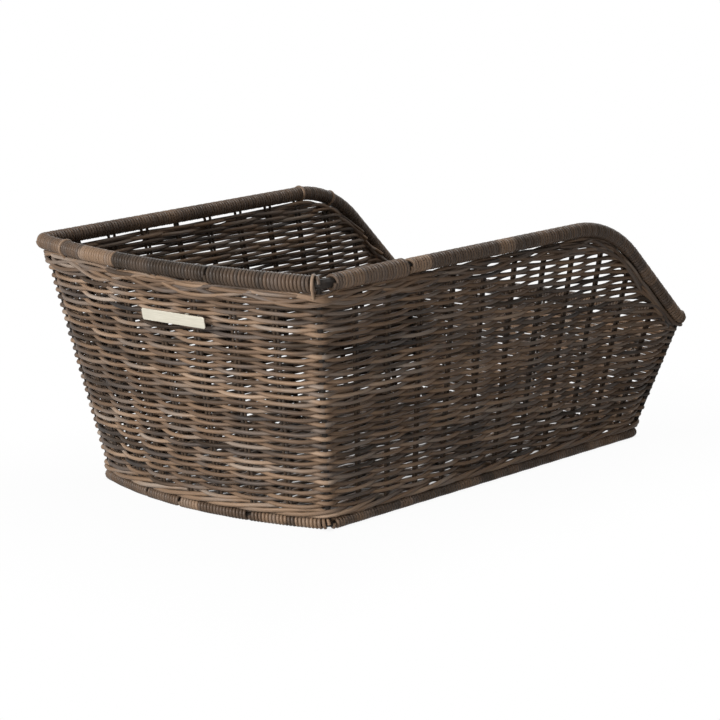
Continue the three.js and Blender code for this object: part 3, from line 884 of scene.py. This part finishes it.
# %% Stretches of binding
corner_trim = (1.0 * mm, 1.0 * mm)
stretch_trim = 0.4 * mm
swell_drop = 1.2 * mm
winding_samples = 400
winding_drift = (0.05, 0.04)
rim_binding = {
    "line": rim_line,
    "heights": rim_height,
    "lift": 0,
    "sizes": {"Strand Diameter": 3.0 * mm, "Coil Radius": 4.8 * mm, "Turn Pitch": 3.12 * mm,
              "Steps Per Turn": 16, "Sides": 6},
    "trims": {"rear": (1.0 * mm, 0.5 * mm), "right": (11.0 * mm, 1.0 * mm)},
    "swells": {"rear": ((0.0, 0.685, 0.69, 0.9, 1.0), (1.0, 1.0, 1.2, 1.2, 1.08)),
               "right": ((0.0, 0.036, 0.19, 0.207, 0.212), (1.02, 1.08, 1.3, 1.3, 1.0))},
    "rear": ((0, 0.139, 0.5), (0.139, 0.227, 0.36), (0.227, 0.365, 0.7), (0.365, 0.686, 0.18),
             (0.69, 0.86, 0.26), (0.86, 1, 0.36)),
    "right": ((0, 0.045, 0.38), (0.045, 0.097, 0.56), (0.097, 0.205, 0.42), (0.212, 0.266, 0.66),
              (0.266, 0.447, 0.36), (0.447, 0.487, 0.64), (0.487, 0.86, 0.33), (0.86, 0.895, 0.55),
              (0.895, 0.95, 0.36), (0.95, 1, 0.62)),
    "front": ((0, 0.3, 0.4), (0.3, 0.38, 0.66), (0.38, 0.8, 0.33), (0.8, 1, 0.46)),
    "left": ((0, 0.1, 0.5), (0.1, 0.3, 0.36), (0.3, 0.5, 0.42), (0.5, 0.76, 0.46), (0.76, 0.88, 0.4),
             (0.88, 1, 0.44)),
}
base_binding = {
    "line": base_line,
    "heights": level_base,
    "lift": 0.9 * mm,
    "sizes": {"Strand Diameter": 2.9 * mm, "Coil Radius": 3.5 * mm, "Turn Pitch": 3.12 * mm,
              "Steps Per Turn": 14, "Sides": 6},
    "trims": {"rear": (1.0 * mm, 0.5 * mm), "right": (2.5 * mm, 1.0 * mm)},
    "swells": {},
    "rear": ((0, 0.28, 0.44), (0.285, 0.442, 0.46), (0.45, 0.535, 0.74), (0.535, 0.73, 0.36),
             (0.736, 0.785, 0.42), (0.785, 0.862, 0.66), (0.862, 0.895, 0.34), (0.895, 1, 0.7)),
    "right": ((0, 0.12, 0.48), (0.12, 0.2, 0.36), (0.2, 0.24, 0.58), (0.24, 0.38, 0.34), (0.38, 0.45, 0.58),
              (0.45, 0.49, 0.3), (0.49, 0.58, 0.5), (0.58, 0.7, 0.36), (0.7, 0.82, 0.44), (0.82, 0.873, 0.72),
              (0.873, 0.93, 0.58), (0.93, 1, 0.46)),
    "front": ((0, 0.2, 0.5), (0.205, 0.4, 0.36), (0.405, 0.5, 0.7), (0.505, 0.78, 0.42), (0.785, 1, 0.58)),
    "left": ((0, 0.17, 0.45), (0.175, 0.26, 0.68), (0.265, 0.48, 0.38), (0.485, 0.62, 0.55),
             (0.625, 0.8, 0.42), (0.805, 0.86, 0.7), (0.865, 1, 0.4)),
}
print("stretches on the rim:", sum(len(rim_binding[wall]) for wall in wall_names))


# %% Winding the rim and the base
def hoop_stretch(binding, wall, start, end, trim):
    """Even points along a stretch of hoop, and their shares of the wall."""
    share = np.linspace(start, end, winding_samples)
    points = hoop_point(binding["line"], binding["heights"], wall, share)
    lengths = np.concatenate([[0], np.cumsum(np.linalg.norm(np.diff(points, axis=0), axis=1))])
    wanted = np.linspace(trim[0], lengths[-1] - trim[1], winding_samples)
    points = np.column_stack([np.interp(wanted, lengths, points[:, axis]) for axis in range(3)])
    return points, np.interp(wanted, lengths, share)


def joined(stretches):
    """Groups stretches that follow each other without a gap: one strand winds through each group."""
    groups = []
    for stretch in stretches:
        if groups and groups[-1][-1][1] == stretch[0]:
            groups[-1].append(stretch)
        else:
            groups.append([stretch])
    return groups


def swell_at(binding, wall, share):
    """How much wider the coil is than where it lies on the rod alone."""
    places, values = binding["swells"].get(wall, ((0, 1), (1, 1)))
    return np.interp(share, places, values)


def wound(binding, wall):
    """The strands that bind one wall's part of a hoop."""
    strands = []
    at_corners = binding["trims"].get(wall, corner_trim)
    for group in joined(binding[wall]):
        start, end = group[0][0], group[-1][1]
        trim = (at_corners[0] if start == 0 else stretch_trim, at_corners[1] if end == 1 else stretch_trim)
        points, share = hoop_stretch(binding, wall, start, end, trim)
        tones = np.array([tone for _, _, tone in group])
        tone = tones[np.searchsorted([edge for _, edge, _ in group[:-1]], share)]
        swell = swell_at(binding, wall, share)
        points[:, 2] += binding["lift"] - swell_drop * (swell - 1)
        strands.append(strand_of(points, tone + wandering(share, *winding_drift), swell=swell))
    return strands


for wall in wall_names:
    for hoop, binding in (("rim", rim_binding), ("base", base_binding)):
        grow(f"{hoop}_winding_{wall}", wound(binding, wall), wound_binding, binding["sizes"], binding_cane,
             "binding", f"{hoop}_wrap_{wall}")

# %% [markdown]
# ## The base wale
# Just above the base hoop three strands twist round each other: each passes in front of two stakes and
# behind one, so long slanting strands show outside. Three rings could be made, but forty uprights aren't a
# multiple of three, so a strand comes back one place further on. One strand that goes round three times
# therefore makes the whole wale.

# %% Base wale
wale_height = 13.3 * mm
wale_rise = 2.2 * mm
wale_reach = 4.3 * mm
wale_rounds = 3
wale_start = 0.2
wale_outside = 0.7
wale_turns = (-0.25, 0.25, 0.75)
wale_girth = 1.1
wale_draw = 0.7
wale_tone = 0.7
wale_drift = (0.12, 2.5)


def base_wale():
    """One strand that goes round three times: low where it comes out, high where it goes in again."""
    gaps = upright_count * wale_rounds
    walk = np.linspace(0, gaps, gaps * samples_per_gap + 1)[:-1]
    part = np.mod(walk / wale_rounds + wale_start, 1)
    angle = 2 * np.pi * np.interp(part, (0, wale_outside, 1), wale_turns)
    height = wale_height + wale_rise * np.sin(angle)
    drawn = 1 - wale_draw * post_share(np.mod(walk, upright_count))
    points = off_wall(walk, height, wale_reach * np.cos(angle) * drawn)
    return strand_of(points, wale_tone + wandering(walk, *wale_drift), wale_girth, closed=True)


weave("base_wale", [base_wale()])

# %% [markdown]
# ## Border strands
# Four looser strands lie close under the rim, from the one slope round the rear wall to the other. They
# rise and sag over several stakes, cross each other, and hang lower on the left wall. They could be more
# rows of the weave, but rows keep their height, so these follow a slow wave instead, each a quarter of a
# wave behind the last.

# %% Border strands
border_count = 4
border_drop = 3.0 * mm
border_slack = 2.4 * mm
border_sag = 4.0 * mm
border_gaps = 4.3
border_waver = (0.2, 2.0)
border_wander = (0.4 * mm, 1.0)
border_out = 2.4 * mm
border_reach = 2.6 * mm
border_post = 1.2 * mm
border_end = 18.3
border_stagger = 0.12
border_tone = 0.56
border_drift = (0.13, 2.0)
end_tuck = 6 * mm
tuck_length = 0.5


def tucked(walk):
    """1 at both ends of a strand, where it is tucked in, 0 between them."""
    first = np.clip(1 - (walk - walk[0]) / tuck_length, 0, 1)
    return first + np.clip(1 - (walk[-1] - walk) / tuck_length, 0, 1)


def border_strand(number):
    end = border_end + border_stagger * number
    walk = walk_between(mirror_walk - upright_count - end, end)
    place = walk + wandering(walk, *border_waver)
    wave = np.cos(2 * np.pi * (place / border_gaps + number / border_count))
    low = border_drop + border_slack * np.clip(-walk, 0, 1)
    height = room_at(walk) - low - border_sag * wave + wandering(walk, *border_wander)
    post = post_share(walk)
    reach = (border_out + border_reach * wave) * (1 - post) + border_post * post
    points = off_wall(walk, height, reach - end_tuck * tucked(walk))
    return strand_of(points, border_tone + wandering(walk, *border_drift))


weave("border_strands", [border_strand(number) for number in range(border_count)])

# %% [markdown]
# ## The closing strand
# One strand closes the weave: it lies on the tucked ends along one slope, round the front and up the other
# slope. It could be a copy of the rim line, but it keeps to the line below the rim that the rows end at,
# so that it covers them, and rises a little at the front.

# %% Closing strand
closing_start = 18.1
closing_lift = 0.6 * mm
closing_reach = 3.2 * mm
closing_tone = 0.5
closing_drift = (0.1, 1.5)
closing_rise = (0.3 * mm, 1.1)
closing_sway = (0.5 * mm, 1.7)
front_start = 19.2
front_ease = 0.6
front_lift = 1.6 * mm


def closing_strand():
    walk = walk_between(closing_start, mirror_walk - closing_start)
    inside = np.minimum(walk - front_start, mirror_walk - front_start - walk)
    lift = closing_lift + front_lift * np.clip(inside / front_ease, 0, 1)
    height = room_at(walk) + lift + wandering(walk, *closing_rise)
    reach = closing_reach + wandering(walk, *closing_sway) - end_tuck * tucked(walk)
    points = off_wall(walk, height, reach)
    return strand_of(points, closing_tone + wandering(walk, *closing_drift))


weave("closing_strand", [closing_strand()])

# %% [markdown]
# ## Lashings
# Here and there a strand is tied over the rim, with both ends pushed down into the weave. The binding tree
# would wind it many times, so each lashing is one bent line: an arc close round the binding and two
# straight ends.

# %% Lashings
lashing_places = (("rear", 0.139, 9 * mm), ("rear", 0.985, 11 * mm), ("left", 0.322, 9 * mm),
                  ("left", 0.236, 9 * mm), ("front", 0.62, 9 * mm))
lashing_grip = -0.2 * mm
lashing_girth = 0.78
lashing_arc = (-50, 230)
arc_points = 25
end_points = 4
end_gap = 0.1
near_share = 0.004
lashing_tone = 0.6
lashing_drift = 0.08


def lashing(wall, share, drop):
    """A strand tied close round the rim, with its two ends pushed down into the weave."""
    shares = np.array([share - near_share, share, share + near_share])
    before, middle, after = hoop_point(rim_line, rim_height, wall, shares)
    along = (after - before) / np.linalg.norm(after - before)
    out = np.cross(along, (0, 0, 1))
    out = out / np.linalg.norm(out)
    up = np.cross(out, along)
    sizes = rim_binding["sizes"]
    coil = sizes["Coil Radius"] * swell_at(rim_binding, wall, share)
    radius = coil + sizes["Strand Diameter"] / 2 + lashing_grip
    angle = np.radians(np.linspace(*lashing_arc, arc_points))
    ring = middle + np.outer(np.cos(angle), out) * radius + np.outer(np.sin(angle), up) * radius
    foot = middle - up * drop
    outer = foot + (ring[0] - foot) * np.linspace(0, 1 - end_gap, end_points)[:, None]
    inner = ring[-1] + (foot - ring[-1]) * np.linspace(end_gap, 1, end_points)[:, None]
    tone = lashing_tone + lashing_drift * chance.normal()
    return strand_of(np.concatenate([outer, ring, inner]), tone, lashing_girth)


lashings = [lashing(*place) for place in lashing_places]
grow("rim_lashings", lashings, cane_strand, strand_sizes, binding_cane, "binding")

# %% [markdown]
# ## Coated rods
# The hoops, the corner posts and the ladder in the floor are steel rod with a dark coating. They show at
# the corners and inside. A plain black would look like a hole, so a fine mottle drives colour and
# roughness. Smooth tubes stand for the faceted posts. They are set inwards, more at the rear than at the
# front, so that the strands that go round them cover them.

# %% Coated steel
coat_colors = ((0.3, (0.012, 0.010, 0.009)), (0.8, (0.028, 0.022, 0.018)))
coat_rough = (0.4, 0.6)
coat_grain = 260.0
coat_shine = 0.1


def dress(tree, shader, grain, colors, rough):
    """Lets one grain drive a shader's colour and roughness."""
    spread = made(tree, "ShaderNodeMapRange", {"Value": grain, "To Min": rough[0], "To Max": rough[1]})
    feed(tree, shader, {"Base Color": ramp(tree, grain, colors), "Roughness": spread})


def coated_steel():
    material, tree, shader = new_material("coated_steel")
    place = add_node(tree, "ShaderNodeTexCoord").outputs["Object"]
    mottle = made(tree, "ShaderNodeTexNoise", {"Vector": place, "Scale": coat_grain, "Detail": 4})
    dress(tree, shader, mottle, coat_colors, coat_rough)
    shader.inputs["Specular IOR Level"].default_value = coat_shine
    return material


steel_coat = coated_steel()
for name in ("rim_hoop", "base_hoop"):
    nodes[name].data.materials.clear()
    nodes[name].data.materials.append(steel_coat)
print("coated:", steel_coat.name)

# %% Corner posts
post_sizes = {"Strand Diameter": 4.4 * mm, "Sides": 16}
post_insets = {"rear": 2.3 * mm, "front": 0.9 * mm}
post_foot = 2.2 * mm
post_head = 4.2 * mm
post_points = 6
rod_tone = 0.1
post_names = ("rear_left", "rear_right", "front_right", "front_left")

for place, corner in zip(wall_first.values(), post_names):
    high = on_walls([place])[1][0, 2] - post_head
    line, out = upright_line(place, base_height + post_foot, high, post_points)
    line = line - out * post_insets[corner.split("_")[0]]
    grow(f"post_{corner}", [strand_of(line, rod_tone)], cane_strand, post_sizes, steel_coat, "steel",
         f"corner_post_{corner}")

# %% [markdown]
# ## The floor
# The floor is a ladder of rods inside the base hoop, woven lengthwise with the same cane. The strands lie
# about a strand apart, so that light from below comes through, and each dips under every second rung. A
# sheet with a pattern would shut that light out, so they are swept lines as well.

# %% Floor
floor_height = 5.95 * mm
floor_rod = 3 * mm
ladder_sizes = {"Strand Diameter": floor_rod, "Sides": 12}
rod_points = 15
rail_inset = 6.2 * mm
rail_x = base_half - rail_inset
rung_count = 7
rung_inset = 9.54 * mm
floor_pitch = 6.5 * mm
floor_reach = 2.66 * mm
floor_overhang = 0.03
points_per_rung = 10
floor_wander = 0.25 * mm
floor_tone = 0.42
floor_tone_spread = 0.1
floor_drift = 0.06
floor_drift_rate = 2.1


def rung_point(index, x):
    share = np.asarray(index, float) / (rung_count - 1)
    low = -base_half_length + rung_inset
    high = base_half_length - rung_inset
    bow = -base_line["rear_bow"] + (base_line["rear_bow"] + base_line["front_bow"]) * share
    y = low + (high - low) * share + bow * (1 - (x / base_half) ** 2)
    return np.stack(np.broadcast_arrays(x, y + base_middle.y, floor_height), -1)


def floor_rods():
    across = np.linspace(-rail_x, rail_x, rod_points)
    along = np.linspace(0, rung_count - 1, rod_points)
    rungs = [strand_of(rung_point(i, across), rod_tone) for i in range(rung_count)]
    rails = [strand_of(rung_point(along, np.full(rod_points, x)), rod_tone) for x in (-rail_x, rail_x)]
    return rungs + rails


def floor_strands():
    edge = rail_x - floor_rod / 2 - strand_size
    count = int(2 * edge / floor_pitch)
    gaps = rung_count - 1
    along = np.linspace(-floor_overhang, gaps + floor_overhang, gaps * points_per_rung + 1)
    strands = []
    for i in range(count):
        x = -edge + 2 * edge * (i + 0.5) / count
        line = rung_point(along, np.full(len(along), x))
        line[:, 2] += floor_reach * np.cos(np.pi * (along + i))
        wander = chance.normal(0, floor_wander, rung_count)
        line[:, 0] += np.interp(along, np.arange(rung_count), wander)
        tone = floor_tone + floor_tone_spread * chance.normal()
        strands.append(strand_of(line, tone + floor_drift * np.sin(along * floor_drift_rate + i)))
    return strands


grow("floor_rods", floor_rods(), cane_strand, ladder_sizes, steel_coat, "steel", "floor_ladder")
weave("floor_cane", floor_strands(), "floor_weave")

# %% [markdown]
# ## The label plate
# A thin pale metal plate sits on the rear wall. It stays bare. The plate could be a new slab, but the
# frame's own plate has the right place, so a copy of it is merged and gets a small bevel, which catches the
# light. Its brushed finish is noise stretched along the plate, in colour and roughness.

# %% Label plate
plate_bevel = 0.3 * mm
plate_sharp = math.radians(30)
plate_flat = math.radians(1)
merge_distance = 0.001 * mm
nickel_colors = ((0.25, (0.5, 0.465, 0.375)), (0.75, (0.72, 0.68, 0.575)))
nickel_rough = (0.3, 0.5)
nickel_metal = 0.75
brush_scale = (60.0, 60.0, 3200.0)


def brushed_nickel():
    material, tree, shader = new_material("brushed_nickel")
    place = add_node(tree, "ShaderNodeTexCoord").outputs["Object"]
    stretch = made(tree, "ShaderNodeMapping", {"Vector": place, "Scale": brush_scale})
    brush = made(tree, "ShaderNodeTexNoise", {"Vector": stretch, "Scale": 1.0, "Detail": 5})
    dress(tree, shader, brush, nickel_colors, nickel_rough)
    shader.inputs["Metallic"].default_value = nickel_metal
    return material


def bevelled_plate():
    mesh = bpy.data.meshes.new("bare_label")
    work = bmesh.new()
    work.from_mesh(nodes["label_plate"].data)
    bmesh.ops.remove_doubles(work, verts=work.verts, dist=merge_distance)
    bmesh.ops.dissolve_limit(work, angle_limit=plate_flat, verts=work.verts, edges=work.edges)
    sharp = [edge for edge in work.edges if edge.calc_face_angle(0) > plate_sharp]
    bmesh.ops.bevel(work, geom=sharp, offset=plate_bevel, segments=2, profile=0.5, affect="EDGES",
                    clamp_overlap=True)
    work.to_mesh(mesh)
    work.free()
    mesh.materials.append(brushed_nickel())
    piece = bpy.data.objects.new("bare_label", mesh)
    scene.collection.objects.link(piece)
    print("label plate faces", len(mesh.polygons))
    return piece


settle(bevelled_plate(), "label", "label_plate")

# %% [markdown]
# ## Floor, backdrop and light
# The studio is white. More light could make it so, but it would bleach the cane. Floor and world are
# therefore white to the camera and in reflections only, and the floor is shaded under the basket. The
# lamps do the rest: a soft key from the front left, which makes the label wall the bright one, a low lamp
# for the near end of the right wall, one from above for the inside, and one from behind.

# %% Floor and backdrop
white = (1, 1, 1, 1)
floor_half = 6.0
floor_drop = 0.3 * mm
floor_color = (0.19, 0.19, 0.19, 1)
world_light = 0.1
shade_reach = 4.0
shade_stops = ((0.21, (0.5, 0.5, 0.5)), (0.258, (0.97, 0.97, 0.97)), (0.6, (1.0, 1.0, 1.0)))


def seen_rays(tree):
    """1 for rays from the camera and for those that metal or glass sends on, 0 for the light itself."""
    path = add_node(tree, "ShaderNodeLightPath")
    seen = math_node(tree, "MAXIMUM", path.outputs["Is Camera Ray"], path.outputs["Is Glossy Ray"])
    return math_node(tree, "MAXIMUM", seen, path.outputs["Is Transmission Ray"])


def away_from_base(tree):
    """How far a place on the floor is from the middle of the base, in shares of the shaded reach."""
    place = add_node(tree, "ShaderNodeTexCoord").outputs["Object"]
    shape = made(tree, "ShaderNodeMapping", {
        "Vector": place,
        "Location": (0, -base_middle.y / base_half_length, 0),
        "Scale": (1 / base_half, 1 / base_half_length, 0),
    })
    sides = add_node(tree, "ShaderNodeSeparateXYZ", {"Vector": shape}).outputs
    across, along = (math_node(tree, "ABSOLUTE", sides[axis]) for axis in "XY")
    return math_node(tree, "DIVIDE", math_node(tree, "MAXIMUM", across, along), shade_reach)


def show(tree, output, share, plain, bright):
    """Leads two shaders to the output, the bright one by its share and the plain one for the rest."""
    blend = made(tree, "ShaderNodeMixShader", {"Fac": share, 1: plain, 2: bright})
    feed(tree, tree.nodes[output], {"Surface": blend})


def white_floor():
    corners = [(x * floor_half, y * floor_half, 0) for x, y in ((-1, -1), (1, -1), (1, 1), (-1, 1))]
    mesh = bpy.data.meshes.new("studio_floor")
    mesh.from_pydata(corners, [], [(0, 1, 2, 3)])
    floor = bpy.data.objects.new("studio_floor", mesh)
    floor.location.z = -floor_drop
    scene.collection.objects.link(floor)
    material, tree, shader = new_material("studio_white")
    feed(tree, shader, {"Base Color": floor_color, "Roughness": 0.9})
    glow = made(tree, "ShaderNodeEmission", {"Color": white, "Strength": 1.0})
    share = times(tree, seen_rays(tree), ramp(tree, away_from_base(tree), shade_stops))
    show(tree, "Material Output", share, shader.outputs["BSDF"], glow)
    mesh.materials.append(material)


def white_world():
    world = bpy.data.worlds.new("studio_world")
    world.use_nodes = True
    scene.world = world
    tree = world.node_tree
    soft = tree.nodes["Background"]
    feed(tree, soft, {"Color": white, "Strength": world_light})
    bright = made(tree, "ShaderNodeBackground", {"Color": white, "Strength": 1.0})
    show(tree, "World Output", seen_rays(tree), soft.outputs["Background"], bright)


white_floor()
white_world()
print("white floor and world ready")

# %% Lamps
lamps = {
    "key_light": {"place": (-0.4, -2.3, 1.0), "target": (0, -0.1, 0.1), "size": 0.8, "power": 65},
    "side_light": {"place": (0.42, -0.7, 0.15), "target": (0.12, -0.16, 0.06), "size": 0.4, "power": 2.9},
    "top_light": {"place": (0.5, -0.1, 1.9), "target": (-0.1, 0, 0.12), "size": 0.8, "power": 8},
    "back_light": {"place": (-0.4, 1.6, 1.5), "target": (0, 0.1, 0.1), "size": 1.2, "power": 18},
}


def soft_lamp(name, place, target, size, power):
    data = bpy.data.lights.new(name, "AREA")
    data.shape = "DISK"
    data.size = size
    data.energy = power
    lamp = bpy.data.objects.new(name, data)
    lamp.location = place
    lamp.rotation_euler = (Vector(target) - Vector(place)).to_track_quat("-Z", "Y").to_euler()
    scene.collection.objects.link(lamp)


for name, values in lamps.items():
    soft_lamp(name, **values)
print("lamps:", len(lamps))

# %% [markdown]
# ## Finish
# The colours are shown as they are written.

# %% Finish
scene.view_settings.view_transform = "Standard"
